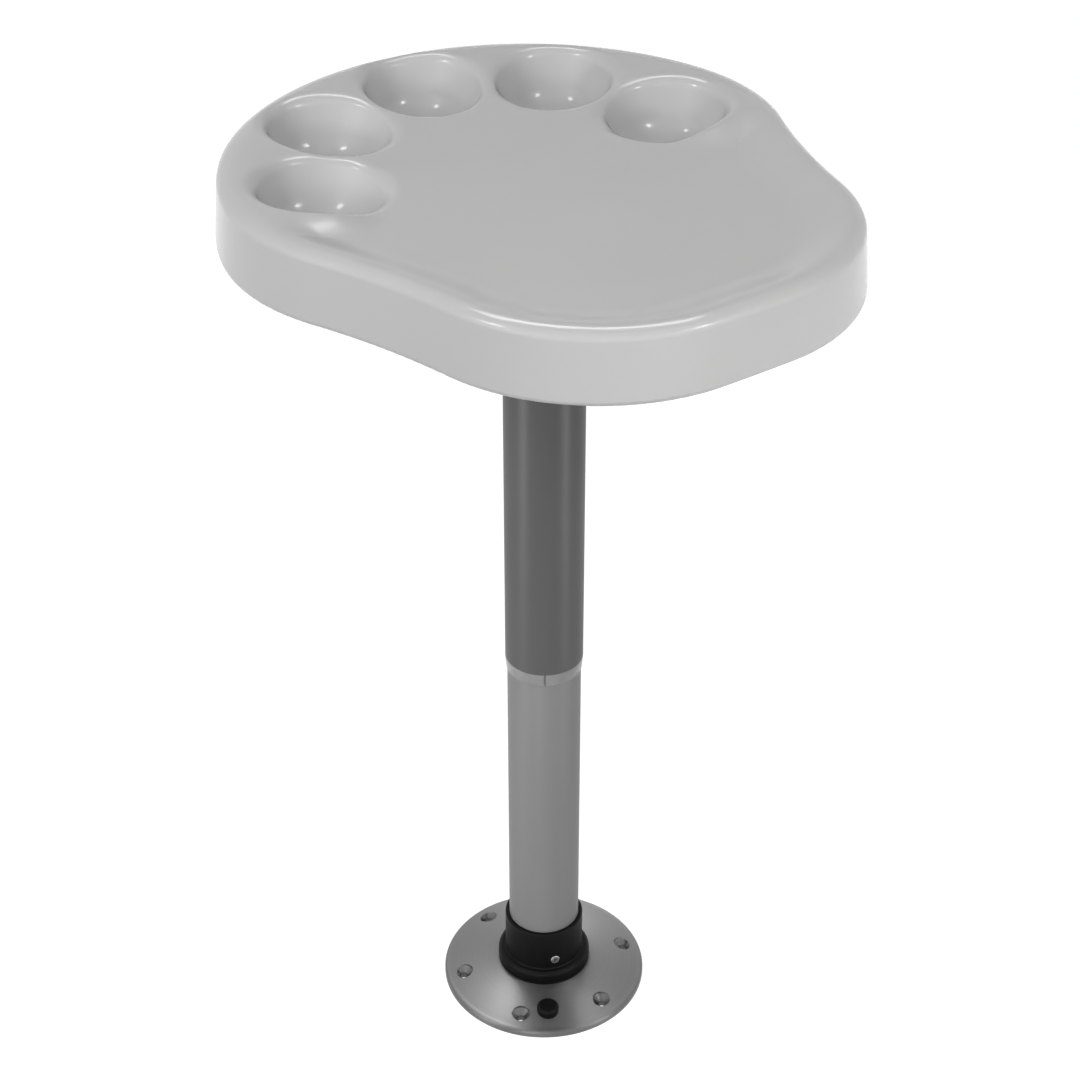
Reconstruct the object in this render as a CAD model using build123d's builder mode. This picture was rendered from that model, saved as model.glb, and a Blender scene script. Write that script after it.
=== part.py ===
from build123d import *
import os
from math import atan, cos, degrees, radians, sin, sqrt

# Single pole camper table, in millimetres.
# The origin is the centre of the floor plate's underside, +Z is up and the pole stands on the Z axis.
# The narrow front of the table top points to -Y, and the cup wells are at the rear, towards +Y.

# Clearances, per side
fit_gap = 0.05
running_gap = 0.08
free_gap = 0.3
select_gap = 0.01

# Table top
top_height = 778.5
top_thickness = 53.5
top_edge_radius = 18.0
underside_edge_radius = 4.0
rear_reach = 250.5
rear_radius = 225.5
rear_half_angle = 72.8
shoulder_radius = 156.0
waist_radius = 538.0
corner_radius = 148.0
corner_half_spacing = 26.5
front_reach = 246.5
front_radius = 1700.0

# Recessed work surface
border_width = 24.5
recess_depth = 10.0
recess_wall_angle = 42.0
recess_crest_radius = 13.0
recess_foot_radius = 13.0
recess_rear_radius = 148.0
recess_turn_drop = 37.0
recess_turn_radius = 17.0

# Cup wells, on an arc round a point ahead of the rear edge, with the row turned a little to one side
cup_count = 5
cup_pitch_reach = 205.5
cup_row_turn = 6.5
cup_pitch_radius = 147.7
cup_pitch_angle = 41.8
cup_radius = 42.5
cup_base_radius = 31.0
cup_depth = 44.0
cup_lip_radius = 9.0
cup_lip_sweep = 76.0
cup_base_fillet = 10.0

# Pole
tube_radius = 30.15
tube_wall = 2.0
tube_overlap = 59.0
sleeve_radius = 31.75
sleeve_wall = 1.25
sleeve_end = 349.5
bush_seat_depth = 12.0
bush_seat_wall = 0.65
bush_lip_height = 11.0
bush_lip_step = 0.7
bush_lip_band = 2.0
bush_slit = 1.6
bush_slit_angle = -124.0

# Flange under the table top
flange_radius = 80.0
flange_thickness = 6.0
socket_depth = 54.0
socket_wall = 7.0
flange_fillet = 6.0
flange_screw_count = 6
rib_count = 6
rib_foot = 12.0
socket_share = 0.6
rib_thickness = 5.0
rib_reach = 70.0
flange_screw_circle = 130.0
flange_screw_radius = 3.0
flange_screw_grip = 14.0
flange_head_radius = 6.0
flange_head_height = 3.6
insert_radius = 5.0
insert_length = 16.0
clamp_screw_count = 3
clamp_screw_radius = 3.0
clamp_screw_drop = 34.0
clamp_screw_proud = 1.0

# Friction pack on the lower tube's upper end
guide_length = 24.0
guide_flange = 4.0
guide_wall = 6.0
guide_web = 4.0
friction_ring_height = 14.0
friction_ring_wall = 8.4
friction_ring_crest = 3.9
friction_ring_slit = 2.5
cone_foot_gap = 1.0
stud_radius = 4.0
stud_head_radius = 6.5
stud_head_height = 6.0
stud_socket_radius = 3.4
stud_socket_depth = 4.0
nut_height = 6.5
nut_across_flats = 13.0
stud_end = 4.0

# Floor plate
plate_radius = 88.0
plate_rim_height = 6.4
plate_rim_width = 5.0
plate_wall = 3.0
plate_edge_radius = 3.0
plate_foot_radius = 0.8
shoulder_inset = 4.5
shoulder_rise = 1.0
seat_height = 16.5
dome_bulge = 1.6
seat_radius = 41.0
hub_radius = 40.0
floor_hole_count = 6
floor_hole_circle = 146.0
floor_hole_radius = 3.5
floor_hole_sink_radius = 8.0
floor_hole_boss = 9.0
floor_hole_angle = -141.0

# Collar on the floor plate
collar_radius = 33.75
collar_top = 69.0
collar_edge_radius = 1.6
skirt_radius = 40.0
skirt_height = 12.5
skirt_shoulder_radius = 4.5
skirt_root_radius = 1.5
skirt_groove_height = 3.0
skirt_groove_size = 0.7
collar_screw_count = 4
collar_screw_circle = 74.0
collar_screw_radius = 1.5
collar_screw_head_radius = 2.7
collar_screw_head_height = 2.4
collar_screw_sink = 0.4
collar_screw_bite = 9.0
set_screw_height = 39.0
set_screw_angle = -108.0
set_screw_radius = 4.0
set_screw_proud = 0.5
set_screw_bevel = 0.4
set_screw_socket_radius = 2.3
set_screw_socket_depth = 2.2

# Pole foot, bearing and latch
bearing_thickness = 1.0
bearing_seat = 10.5
foot_radius = 26.0
foot_bottom = 1.4
foot_lead = 0.8
foot_plug_length = 34.0
foot_plug_wall = 4.0
groove_bottom = 2.6
groove_height = 2.6
groove_depth = 3.0
latch_angle = -122.0
latch_travel = 3.0
latch_thickness = 2.0
latch_half_width = 11.0
latch_end = 73.0
button_place = 66.0
button_radius = 9.5
button_top = 17.7
button_edge_radius = 2.6
button_spring_radius = 3.0
button_spring_wire = 0.35
button_spring_turns = 5
spring_wire_sides = 6
button_spring_pocket = 14.0
leg_start = 5.6
leg_width = 2.6
leg_tip_thickness = 1.2
leg_tip_entry = 0.4
leg_tip_inset = 3.4
leg_root = 9.0
slot_side_gap = 0.4
slot_wedge_gap = 0.2
window_start = 38.0
window_half_width = 2.4
latch_spring_radius = 1.6
latch_spring_wire = 0.25
latch_spring_turns = 8
spring_post_place = 52.0
spring_post_length = 2.5
spring_post_half_width = 1.9
pocket_end_gap = 0.6
cover_bottom = 0.2
cover_thickness = 0.8
cover_disc_radius = 31.8
cover_half_width = 16.0
cover_end = 79.5
cover_seat_gap = 0.2
housing_half_width = 19.0
housing_end = 83.0
rail_start = 36.0
rail_width = 1.2
rail_inset = 0.2
rail_slide_gap = 0.1
cover_screw_places = (40.0, 60.0)
cover_screw_offset = 13.6
cover_screw_radius = 1.1
cover_screw_head_radius = 1.8
cover_screw_length = 6.0

# Heights and radii that follow from the sizes above
top_length = rear_reach + front_reach
cup_pitch_centre_y = rear_reach - cup_pitch_reach
underside = top_height - top_thickness
recess_floor = top_height - recess_depth
socket_top = underside - flange_thickness
socket_end = socket_top - socket_depth
sleeve_bore = sleeve_radius - sleeve_wall
tube_top = sleeve_end + tube_overlap
bush_seat_radius = sleeve_radius - bush_seat_wall
bush_bore = tube_radius + running_gap
tube_bore = tube_radius - tube_wall
guide_radius = sleeve_bore - running_gap
guide_top = tube_top + guide_flange
friction_ring_top = guide_top + friction_ring_height
tube_foot = bearing_seat + bearing_thickness
groove_top = groove_bottom + groove_height
groove_floor = foot_radius - groove_depth
hub_bore = foot_radius + free_gap
collar_bore = tube_radius + running_gap
collar_seat_bore = collar_radius + fit_gap
latch_bottom = groove_bottom + (groove_height - latch_thickness) / 2
latch_top = latch_bottom + latch_thickness
pocket_top = groove_top
pocket_half_width = latch_half_width + free_gap
pocket_end = latch_end + latch_travel + pocket_end_gap
cover_top = cover_bottom + cover_thickness
button_bottom = latch_top + latch_travel + free_gap
button_bore = button_radius + running_gap
dome_foot = Vector(plate_radius - shoulder_inset, plate_rim_height + shoulder_rise, 0)
dome_crown = Vector(seat_radius, seat_height, 0)
dome_chord = dome_crown - dome_foot
dome_normal = Vector(dome_chord.Y, -dome_chord.X, 0).normalized()
dome_radius = (dome_chord.length**2 / 4 + dome_bulge**2) / (2 * dome_bulge)
dome_middle = (dome_foot + dome_crown) / 2 + dome_normal * dome_bulge
dome_centre = dome_middle - dome_normal * dome_radius

os.makedirs("parts", exist_ok=True)


def outward(angle):
    """Horizontal direction away from the pole at an angle."""
    return Vector(cos(radians(angle)), sin(radians(angle)), 0)


def upright(angle):
    """Plane through the pole's axis: its x runs outward at an angle and its y runs up."""
    return Plane(origin=(0, 0, 0), x_dir=outward(angle), z_dir=outward(angle - 90))


def turned(angle, height):
    """Level plane at a height whose x runs outward at an angle."""
    return Plane(origin=(0, 0, height), x_dir=outward(angle), z_dir=(0, 0, 1))


def radial(angle, radius, height):
    """Plane that faces outward at a distance from the pole's axis."""
    place = outward(angle) * radius + Vector(0, 0, height)
    return Plane(origin=place, x_dir=(0, 0, 1), z_dir=outward(angle))


def save(piece, name):
    """Labels a finished piece and writes it under its node's name."""
    piece.part.label = name
    export_step(piece.part, "parts/" + name + ".step")


def corner(profile, radius, height):
    """The corner of an upright profile nearest to a radius and a height."""
    return profile.vertices().sort_by_distance((radius, height, 0))[0]


def dome_height(radius):
    """Height of the floor plate's domed top at a radius."""
    return dome_centre.Y + sqrt(dome_radius**2 - (radius - dome_centre.X) ** 2)


def arc_between(centre, radius, start, end):
    """The shorter arc of a circle between two of its points."""
    middle = centre + ((start + end) / 2 - centre).normalized() * radius
    return ThreePointArc(start, middle, end)


def far_meeting(centre_a, radius_a, centre_b, radius_b):
    """The crossing of two circles that lies further from the mirror line."""
    apart = centre_b - centre_a
    along = (radius_a**2 - radius_b**2 + apart.length**2) / (2 * apart.length)
    aside = sqrt(radius_a**2 - along**2)
    step = apart.normalized()
    normal = Vector(-step.Y, step.X, 0)
    if normal.X < 0:
        normal = -normal
    return centre_a + step * along + normal * aside


# Outline of the table top: rear, shoulder, waist, corner and front arcs, each tangent to the next
rear_way = Vector(sin(radians(rear_half_angle)), cos(radians(rear_half_angle)), 0)
rear_centre = Vector(0, rear_reach - rear_radius, 0)
shoulder_centre = rear_centre + rear_way * (rear_radius - shoulder_radius)
front_centre = Vector(0, front_radius - front_reach, 0)
corner_drop = sqrt((front_radius - corner_radius) ** 2 - corner_half_spacing**2)
corner_centre = front_centre + Vector(corner_half_spacing, -corner_drop, 0)
waist_centre = far_meeting(
    shoulder_centre, shoulder_radius + waist_radius, corner_centre, corner_radius + waist_radius
)
rear_point = Vector(0, rear_reach, 0)
front_point = Vector(0, -front_reach, 0)
rear_joint = rear_centre + rear_way * rear_radius
shoulder_joint = shoulder_centre + (waist_centre - shoulder_centre).normalized() * shoulder_radius
corner_joint = corner_centre + (waist_centre - corner_centre).normalized() * corner_radius
front_joint = front_centre + (corner_centre - front_centre).normalized() * front_radius

with BuildSketch() as top_outline:
    with BuildLine():
        arc_between(rear_centre, rear_radius, rear_point, rear_joint)
        arc_between(shoulder_centre, shoulder_radius, rear_joint, shoulder_joint)
        arc_between(waist_centre, waist_radius, shoulder_joint, corner_joint)
        arc_between(corner_centre, corner_radius, corner_joint, front_joint)
        arc_between(front_centre, front_radius, front_joint, front_point)
        mirror(about=Plane.YZ)
    make_face()

# Recess at border level: the outline set in by the border, cut off in front of the end wells,
# with a round part that reaches back between the wells
row_way = Vector(sin(radians(cup_row_turn)), cos(radians(cup_row_turn)), 0)
row_centre = Vector(0, cup_pitch_centre_y, 0)
row_axis = Axis(row_centre, row_way)
with BuildSketch() as recess_outline:
    add(top_outline.sketch)
    offset(amount=-border_width, mode=Mode.REPLACE)
    with Locations(Location(row_centre - row_way * (recess_turn_drop + top_length), -cup_row_turn)):
        Rectangle(2 * top_length, 2 * top_length, mode=Mode.INTERSECT)
    with Locations(row_centre):
        Circle(recess_rear_radius)
    turn_corners = recess_outline.vertices().filter_by_position(
        row_axis, -recess_turn_drop - select_gap, -recess_turn_drop + select_gap
    )
    fillet(turn_corners, radius=recess_turn_radius)

# One cup well as a turned cutter, from its base up through a rounded lip
lip_rise = cup_lip_radius * sin(radians(cup_lip_sweep))
lip_bottom = top_height - lip_rise
cup_base = top_height - cup_depth
with BuildPart() as cup_cutter:
    with BuildSketch(Plane.XZ) as cup_profile:
        with BuildLine():
            base_line = Line((0, cup_base), (cup_base_radius, cup_base))
            wall_line = Line(base_line @ 1, (cup_radius, lip_bottom))
            lip_arc = JernArc(wall_line @ 1, (0, 1), cup_lip_radius, -cup_lip_sweep)
            lip_run = Line(lip_arc @ 1, (lip_arc @ 1) + (lip_arc % 1) * cup_lip_radius)
            rim_line = Line(lip_run @ 1, (0, (lip_run @ 1).Y))
            Line(rim_line @ 1, base_line @ 0)
        make_face()
        fillet(corner(cup_profile, cup_base_radius, cup_base), cup_base_fillet)
    revolve(axis=Axis.Z)

cup_angles = [cup_row_turn + (i - (cup_count - 1) / 2) * cup_pitch_angle for i in range(cup_count)]
cup_centres = [
    (
        cup_pitch_radius * sin(radians(angle)),
        cup_pitch_centre_y + cup_pitch_radius * cos(radians(angle)),
    )
    for angle in cup_angles
]

# Moulded top with its raised border, recess and wells
with BuildPart() as table_top:
    with BuildSketch(Plane.XY.offset(underside)):
        add(top_outline.sketch)
    extrude(amount=top_thickness)
    fillet(table_top.faces().sort_by(Axis.Z)[-1].edges(), top_edge_radius)
    fillet(table_top.faces().sort_by(Axis.Z)[0].edges(), underside_edge_radius)
    with BuildSketch(Plane.XY.offset(top_height)):
        add(recess_outline.sketch)
    extrude(amount=-recess_depth, taper=recess_wall_angle, mode=Mode.SUBTRACT)
    crest = table_top.faces().filter_by(Axis.Z).sort_by(Axis.Z)[-1]
    fillet(crest.inner_wires()[0].edges(), recess_crest_radius)
    work_surface = table_top.faces().filter_by(Axis.Z).filter_by_position(
        Axis.Z, recess_floor - select_gap, recess_floor + select_gap
    )[0]
    fillet(work_surface.outer_wire().edges(), recess_foot_radius)
    with Locations(*cup_centres):
        add(cup_cutter.part, mode=Mode.SUBTRACT)
    with Locations(Plane.XY.offset(underside)):
        with PolarLocations(flange_screw_circle / 2, flange_screw_count):
            Cylinder(
                insert_radius + fit_gap,
                insert_length,
                align=(Align.CENTER, Align.CENTER, Align.MIN),
                mode=Mode.SUBTRACT,
            )
save(table_top, "table_top")

# Cast flange that carries the top: a disc, a socket neck for the sleeve, and ribs between them
socket_radius = sleeve_radius + socket_wall
clamp_height = socket_top - clamp_screw_drop
clamp_angles = [360 / rib_count / 2 + i * 360 / clamp_screw_count for i in range(clamp_screw_count)]
with BuildPart() as top_flange:
    with BuildSketch(Plane.XY.offset(socket_top)):
        Circle(flange_radius)
    extrude(amount=flange_thickness)
    with BuildSketch(Plane.XY.offset(socket_end)):
        Circle(socket_radius)
    extrude(amount=socket_depth)
    root = top_flange.edges().filter_by(GeomType.CIRCLE).filter_by_position(Axis.Z, socket_top, socket_top)
    fillet(root.sort_by(SortBy.RADIUS)[0], flange_fillet)
    for i in range(rib_count):
        with BuildSketch(upright(360 / rib_count * (i + 0.5))):
            with BuildLine():
                Polyline(
                    (socket_radius - socket_wall / 2, socket_top + flange_thickness / 2),
                    (rib_reach, socket_top + flange_thickness / 2),
                    (rib_reach, socket_top),
                    (socket_radius, socket_end + rib_foot),
                    (socket_radius - socket_wall / 2, socket_end + rib_foot),
                    close=True,
                )
            make_face()
        extrude(amount=rib_thickness / 2, both=True)
    with BuildSketch(Plane.XY.offset(socket_end)):
        Circle(sleeve_radius + fit_gap)
    extrude(amount=socket_depth, mode=Mode.SUBTRACT)
    with BuildSketch(Plane.XY.offset(socket_top)):
        with PolarLocations(flange_screw_circle / 2, flange_screw_count):
            Circle(flange_screw_radius + free_gap)
    extrude(amount=flange_thickness, mode=Mode.SUBTRACT)
    for angle in clamp_angles:
        with BuildSketch(radial(angle, sleeve_radius, clamp_height)):
            Circle(clamp_screw_radius + fit_gap)
        extrude(amount=2 * socket_wall, mode=Mode.SUBTRACT)
save(top_flange, "top_flange")

# Threaded inserts moulded into the top
with BuildPart() as top_inserts:
    with BuildSketch(Plane.XY.offset(underside)):
        with PolarLocations(flange_screw_circle / 2, flange_screw_count):
            Circle(insert_radius)
            Circle(flange_screw_radius + fit_gap, mode=Mode.SUBTRACT)
    extrude(amount=insert_length)
save(top_inserts, "top_inserts")

# Screws that hold the flange to the inserts, with their heads below the flange
with BuildPart() as flange_screws:
    with BuildSketch(Plane.XY.offset(socket_top - flange_head_height)):
        with PolarLocations(flange_screw_circle / 2, flange_screw_count):
            Circle(flange_head_radius)
    extrude(amount=flange_head_height)
    fillet(flange_screws.edges().group_by(Axis.Z)[0], flange_head_height / 3)
    with BuildSketch(Plane.XY.offset(socket_top)):
        with PolarLocations(flange_screw_circle / 2, flange_screw_count):
            Circle(flange_screw_radius)
    extrude(amount=flange_thickness + flange_screw_grip)
    with BuildSketch(Plane.XY.offset(socket_top - flange_head_height)):
        with PolarLocations(flange_screw_circle / 2, flange_screw_count):
            RegularPolygon(flange_screw_radius * socket_share, 6)
    extrude(amount=flange_head_height * socket_share, mode=Mode.SUBTRACT)
save(flange_screws, "flange_screws")

# Set screws that clamp the sleeve in the flange's socket
with BuildPart() as flange_clamp_screws:
    for angle in clamp_angles:
        with BuildSketch(radial(angle, sleeve_radius, clamp_height)):
            Circle(clamp_screw_radius)
        extrude(amount=socket_wall + clamp_screw_proud)
        with BuildSketch(radial(angle, sleeve_radius + socket_wall + clamp_screw_proud, clamp_height)):
            RegularPolygon(clamp_screw_radius * socket_share, 6)
        extrude(amount=-clamp_screw_radius, mode=Mode.SUBTRACT)
save(flange_clamp_screws, "flange_clamp_screws")

# Outer pole tube, bored out at its lower end for the bush
with BuildPart() as upper_sleeve:
    with BuildSketch(Plane.XY.offset(sleeve_end)):
        Circle(sleeve_radius)
        Circle(sleeve_bore, mode=Mode.SUBTRACT)
    extrude(amount=socket_top - sleeve_end)
    with BuildSketch(Plane.XY.offset(sleeve_end)):
        Circle(bush_seat_radius)
    extrude(amount=bush_seat_depth, mode=Mode.SUBTRACT)
save(upper_sleeve, "upper_sleeve")

# Split guide bush with a tapered lip below the sleeve
bush_bottom = sleeve_end - bush_lip_height
with BuildPart() as sleeve_bush:
    with BuildSketch(Plane.XZ):
        with BuildLine():
            Polyline(
                (bush_bore, bush_bottom),
                (bush_bore + bush_lip_step, bush_bottom),
                (sleeve_radius, sleeve_end - bush_lip_band),
                (sleeve_radius, sleeve_end),
                (bush_seat_radius - fit_gap, sleeve_end),
                (bush_seat_radius - fit_gap, sleeve_end + bush_seat_depth),
                (bush_bore, sleeve_end + bush_seat_depth),
                close=True,
            )
        make_face()
    revolve(axis=Axis.Z)
    with BuildSketch(turned(bush_slit_angle, bush_bottom)):
        with Locations((sleeve_radius, 0)):
            Rectangle(sleeve_radius, bush_slit)
    extrude(amount=bush_lip_height + bush_seat_depth, mode=Mode.SUBTRACT)
save(sleeve_bush, "sleeve_bush")

# Inner pole tube
with BuildPart() as lower_tube:
    with BuildSketch(Plane.XY.offset(tube_foot)):
        Circle(tube_radius)
        Circle(tube_bore, mode=Mode.SUBTRACT)
    extrude(amount=tube_top - tube_foot)
save(lower_tube, "lower_tube")

# Guide plug in the tube's upper end
guide_web_bottom = tube_top - guide_web
with BuildPart() as lower_guide:
    with BuildSketch(Plane.XY.offset(tube_top - guide_length)):
        Circle(tube_bore - fit_gap)
    extrude(amount=guide_length)
    with BuildSketch(Plane.XY.offset(tube_top)):
        Circle(guide_radius)
    extrude(amount=guide_flange)
    with BuildSketch(Plane.XY.offset(tube_top - guide_length)):
        Circle(tube_bore - guide_wall)
    extrude(amount=guide_length - guide_web, mode=Mode.SUBTRACT)
    with BuildSketch(Plane.XY.offset(guide_web_bottom)):
        Circle(stud_radius + free_gap)
    extrude(amount=guide_web + guide_flange, mode=Mode.SUBTRACT)
save(lower_guide, "lower_guide")

# Split friction ring with a conical bore
ring_foot = guide_radius - friction_ring_wall
ring_crest = guide_radius - friction_ring_crest
ring_slope = (ring_crest - ring_foot) / friction_ring_height
with BuildPart() as friction_ring:
    with BuildSketch(Plane.XZ):
        with BuildLine():
            Polyline(
                (ring_foot, guide_top),
                (guide_radius, guide_top),
                (guide_radius, friction_ring_top),
                (ring_crest, friction_ring_top),
                close=True,
            )
        make_face()
    revolve(axis=Axis.Z)
    with BuildSketch(Plane.XY.offset(guide_top)):
        with Locations((guide_radius, 0)):
            Rectangle(guide_radius, friction_ring_slit)
    extrude(amount=friction_ring_height, mode=Mode.SUBTRACT)
save(friction_ring, "friction_ring")

# Cone that spreads the ring
cone_bottom = guide_top + cone_foot_gap
cone_foot = ring_foot + ring_slope * cone_foot_gap - fit_gap
with BuildPart() as friction_cone:
    with BuildSketch(Plane.XZ):
        with BuildLine():
            Polyline(
                (stud_radius + free_gap, cone_bottom),
                (cone_foot, cone_bottom),
                (ring_crest - fit_gap, friction_ring_top),
                (stud_head_radius + free_gap, friction_ring_top),
                (stud_head_radius + free_gap, friction_ring_top - stud_head_height),
                (stud_radius + free_gap, friction_ring_top - stud_head_height),
                close=True,
            )
        make_face()
    revolve(axis=Axis.Z)
save(friction_cone, "friction_cone")

# Stud that draws the cone down on the guide, and its nut under the guide's web
nut_bottom = guide_web_bottom - nut_height
stud_bottom = nut_bottom - stud_end
with BuildPart() as friction_stud:
    with BuildSketch(Plane.XY.offset(stud_bottom)):
        Circle(stud_radius)
    extrude(amount=friction_ring_top - stud_head_height - stud_bottom)
    with BuildSketch(Plane.XY.offset(friction_ring_top - stud_head_height)):
        Circle(stud_head_radius)
    extrude(amount=stud_head_height)
    with BuildSketch(Plane.XY.offset(friction_ring_top)):
        RegularPolygon(stud_socket_radius, 6)
    extrude(amount=-stud_socket_depth, mode=Mode.SUBTRACT)
save(friction_stud, "friction_stud")

with BuildPart() as friction_nut:
    with BuildSketch(Plane.XY.offset(nut_bottom)):
        RegularPolygon(nut_across_flats / 2, 6, major_radius=False)
        Circle(stud_radius + fit_gap, mode=Mode.SUBTRACT)
    extrude(amount=nut_height)
save(friction_nut, "friction_nut")

# Plug in the tube's foot, with the groove that the latch enters
with BuildPart() as foot_plug:
    with BuildSketch(Plane.XZ):
        with BuildLine():
            Polyline(
                (0, foot_bottom),
                (foot_radius - foot_lead, foot_bottom),
                (foot_radius, foot_bottom + foot_lead),
                (foot_radius, groove_bottom),
                (groove_floor, groove_bottom),
                (groove_floor, groove_top),
                (foot_radius, groove_top),
                (foot_radius, tube_foot),
                (tube_bore - fit_gap, tube_foot),
                (tube_bore - fit_gap, tube_foot + foot_plug_length),
                (tube_bore - foot_plug_wall, tube_foot + foot_plug_length),
                (tube_bore - foot_plug_wall, tube_foot),
                (0, tube_foot),
                close=True,
            )
        make_face()
    revolve(axis=Axis.Z)
save(foot_plug, "foot_plug")

# Thrust ring under the tube's foot
with BuildPart() as swivel_bearing:
    with BuildSketch(Plane.XY.offset(bearing_seat)):
        Circle(collar_seat_bore - fit_gap)
        Circle(hub_bore, mode=Mode.SUBTRACT)
    extrude(amount=bearing_thickness)
save(swivel_bearing, "swivel_bearing")

# Hollow under the floor plate: a ring under the dome, less what stands in it
rim_inside = plate_radius - plate_rim_width
floor_hole_angles = [floor_hole_angle + i * 360 / floor_hole_count for i in range(floor_hole_count)]
with BuildPart() as plate_hollow:
    with BuildSketch(Plane.XZ):
        with BuildLine():
            Polyline(
                (hub_radius, 0),
                (rim_inside, 0),
                (rim_inside, dome_height(rim_inside) - plate_wall),
                (seat_radius, seat_height - plate_wall),
                (hub_radius, seat_height - plate_wall),
                close=True,
            )
        make_face()
    revolve(axis=Axis.Z)
    with BuildSketch(turned(latch_angle, 0)):
        with Locations((housing_end / 2, 0)):
            Rectangle(housing_end, 2 * housing_half_width)
    extrude(amount=seat_height, mode=Mode.SUBTRACT)
    for angle in floor_hole_angles:
        with BuildSketch(turned(angle, 0)):
            with Locations((plate_radius / 2, 0)):
                Rectangle(plate_radius, plate_wall)
            with Locations((floor_hole_circle / 2, 0)):
                Circle(floor_hole_boss)
        extrude(amount=seat_height, mode=Mode.SUBTRACT)

# Countersunk floor hole, with a flat cut above it into the sloping dome
sink_top = dome_height(floor_hole_circle / 2) - free_gap
sink_bottom = sink_top - (floor_hole_sink_radius - floor_hole_radius)
with BuildPart() as floor_hole_cutter:
    with BuildSketch(Plane.XZ):
        with BuildLine():
            Polyline(
                (0, -plate_wall),
                (floor_hole_radius, -plate_wall),
                (floor_hole_radius, sink_bottom),
                (floor_hole_sink_radius, sink_top),
                (floor_hole_sink_radius, seat_height),
                (0, seat_height),
                close=True,
            )
        make_face()
    revolve(axis=Axis.Z)

# Outline of the cover's seat and of the cover: a disc under the pole and a tongue under the latch
def cover_outline(gap):
    """Draws the cover's outline, larger by a gap all round, in the sketch in use."""
    Circle(cover_disc_radius + gap)
    with Locations(((cover_end + gap) / 2, 0)):
        Rectangle(cover_end + gap, 2 * (cover_half_width + gap))


cover_screw_points = [(place, side * cover_screw_offset) for place in cover_screw_places for side in (-1, 1)]
collar_screw_angles = [latch_angle + (i + 0.5) * 360 / collar_screw_count for i in range(collar_screw_count)]
with BuildPart() as floor_plate:
    with BuildSketch(Plane.XZ) as plate_profile:
        with BuildLine():
            Polyline((hub_bore, 0), (plate_radius, 0), (plate_radius, plate_rim_height), dome_foot)
            ThreePointArc(dome_foot, dome_middle, dome_crown)
            Polyline(
                dome_crown,
                (collar_seat_bore, seat_height),
                (collar_seat_bore, bearing_seat),
                (hub_bore, bearing_seat),
                (hub_bore, 0),
            )
        make_face()
        fillet(corner(plate_profile, plate_radius, plate_rim_height), plate_edge_radius)
        fillet(corner(plate_profile, plate_radius, 0), plate_foot_radius)
    revolve(axis=Axis.Z)
    add(plate_hollow.part, mode=Mode.SUBTRACT)
    for angle in floor_hole_angles:
        with Locations(outward(angle) * (floor_hole_circle / 2)):
            add(floor_hole_cutter.part, mode=Mode.SUBTRACT)
    with BuildSketch(turned(latch_angle, 0)):
        cover_outline(cover_seat_gap)
    extrude(amount=cover_top, mode=Mode.SUBTRACT)
    with BuildSketch(turned(latch_angle, cover_top)):
        with Locations((pocket_end / 2, 0)):
            Rectangle(pocket_end, 2 * pocket_half_width)
        with Locations((spring_post_place + spring_post_length / 2, 0)):
            Rectangle(spring_post_length, 2 * spring_post_half_width, mode=Mode.SUBTRACT)
    extrude(amount=pocket_top - cover_top, mode=Mode.SUBTRACT)
    with BuildSketch(turned(latch_angle, pocket_top)):
        with Locations((button_place, 0)):
            Circle(button_bore)
    extrude(amount=seat_height, mode=Mode.SUBTRACT)
    with BuildSketch(turned(latch_angle, cover_top)):
        with Locations(*cover_screw_points):
            Circle(cover_screw_radius + fit_gap)
    extrude(amount=cover_screw_length, mode=Mode.SUBTRACT)
    for angle in collar_screw_angles:
        with BuildSketch(turned(angle, 0)):
            with Locations((collar_screw_circle / 2, 0)):
                Circle(collar_screw_radius + free_gap)
        extrude(amount=seat_height, mode=Mode.SUBTRACT)
        with BuildSketch(turned(angle, 0)):
            with Locations((collar_screw_circle / 2, 0)):
                Circle(collar_screw_head_radius + free_gap)
        extrude(amount=collar_screw_sink + collar_screw_head_height, mode=Mode.SUBTRACT)
save(floor_plate, "floor_plate")

# Collar: spigot in the plate, bell-shaped skirt and straight neck round the tube
skirt_top = seat_height + skirt_height
with BuildPart() as pole_collar:
    with BuildSketch(Plane.XZ) as collar_profile:
        with BuildLine():
            Polyline(
                (collar_bore, tube_foot + free_gap),
                (collar_radius, tube_foot + free_gap),
                (collar_radius, seat_height),
                (skirt_radius, seat_height),
                (skirt_radius, skirt_top),
                (collar_radius, skirt_top),
                (collar_radius, collar_top),
                (collar_bore, collar_top),
                close=True,
            )
        make_face()
        fillet(corner(collar_profile, skirt_radius, skirt_top), skirt_shoulder_radius)
        fillet(corner(collar_profile, collar_radius, skirt_top), skirt_root_radius)
        fillet(corner(collar_profile, collar_radius, collar_top), collar_edge_radius)
        with Locations((skirt_radius, seat_height + skirt_groove_height)):
            Rectangle(2 * skirt_groove_size, skirt_groove_size, mode=Mode.SUBTRACT)
    revolve(axis=Axis.Z)
    for angle in collar_screw_angles:
        with BuildSketch(turned(angle, seat_height)):
            with Locations((collar_screw_circle / 2, 0)):
                Circle(collar_screw_radius + fit_gap)
        extrude(amount=collar_screw_bite, mode=Mode.SUBTRACT)
    with BuildSketch(radial(set_screw_angle, tube_radius, set_screw_height)):
        Circle(set_screw_radius + fit_gap)
    extrude(amount=collar_radius, mode=Mode.SUBTRACT)
save(pole_collar, "pole_collar")

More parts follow.
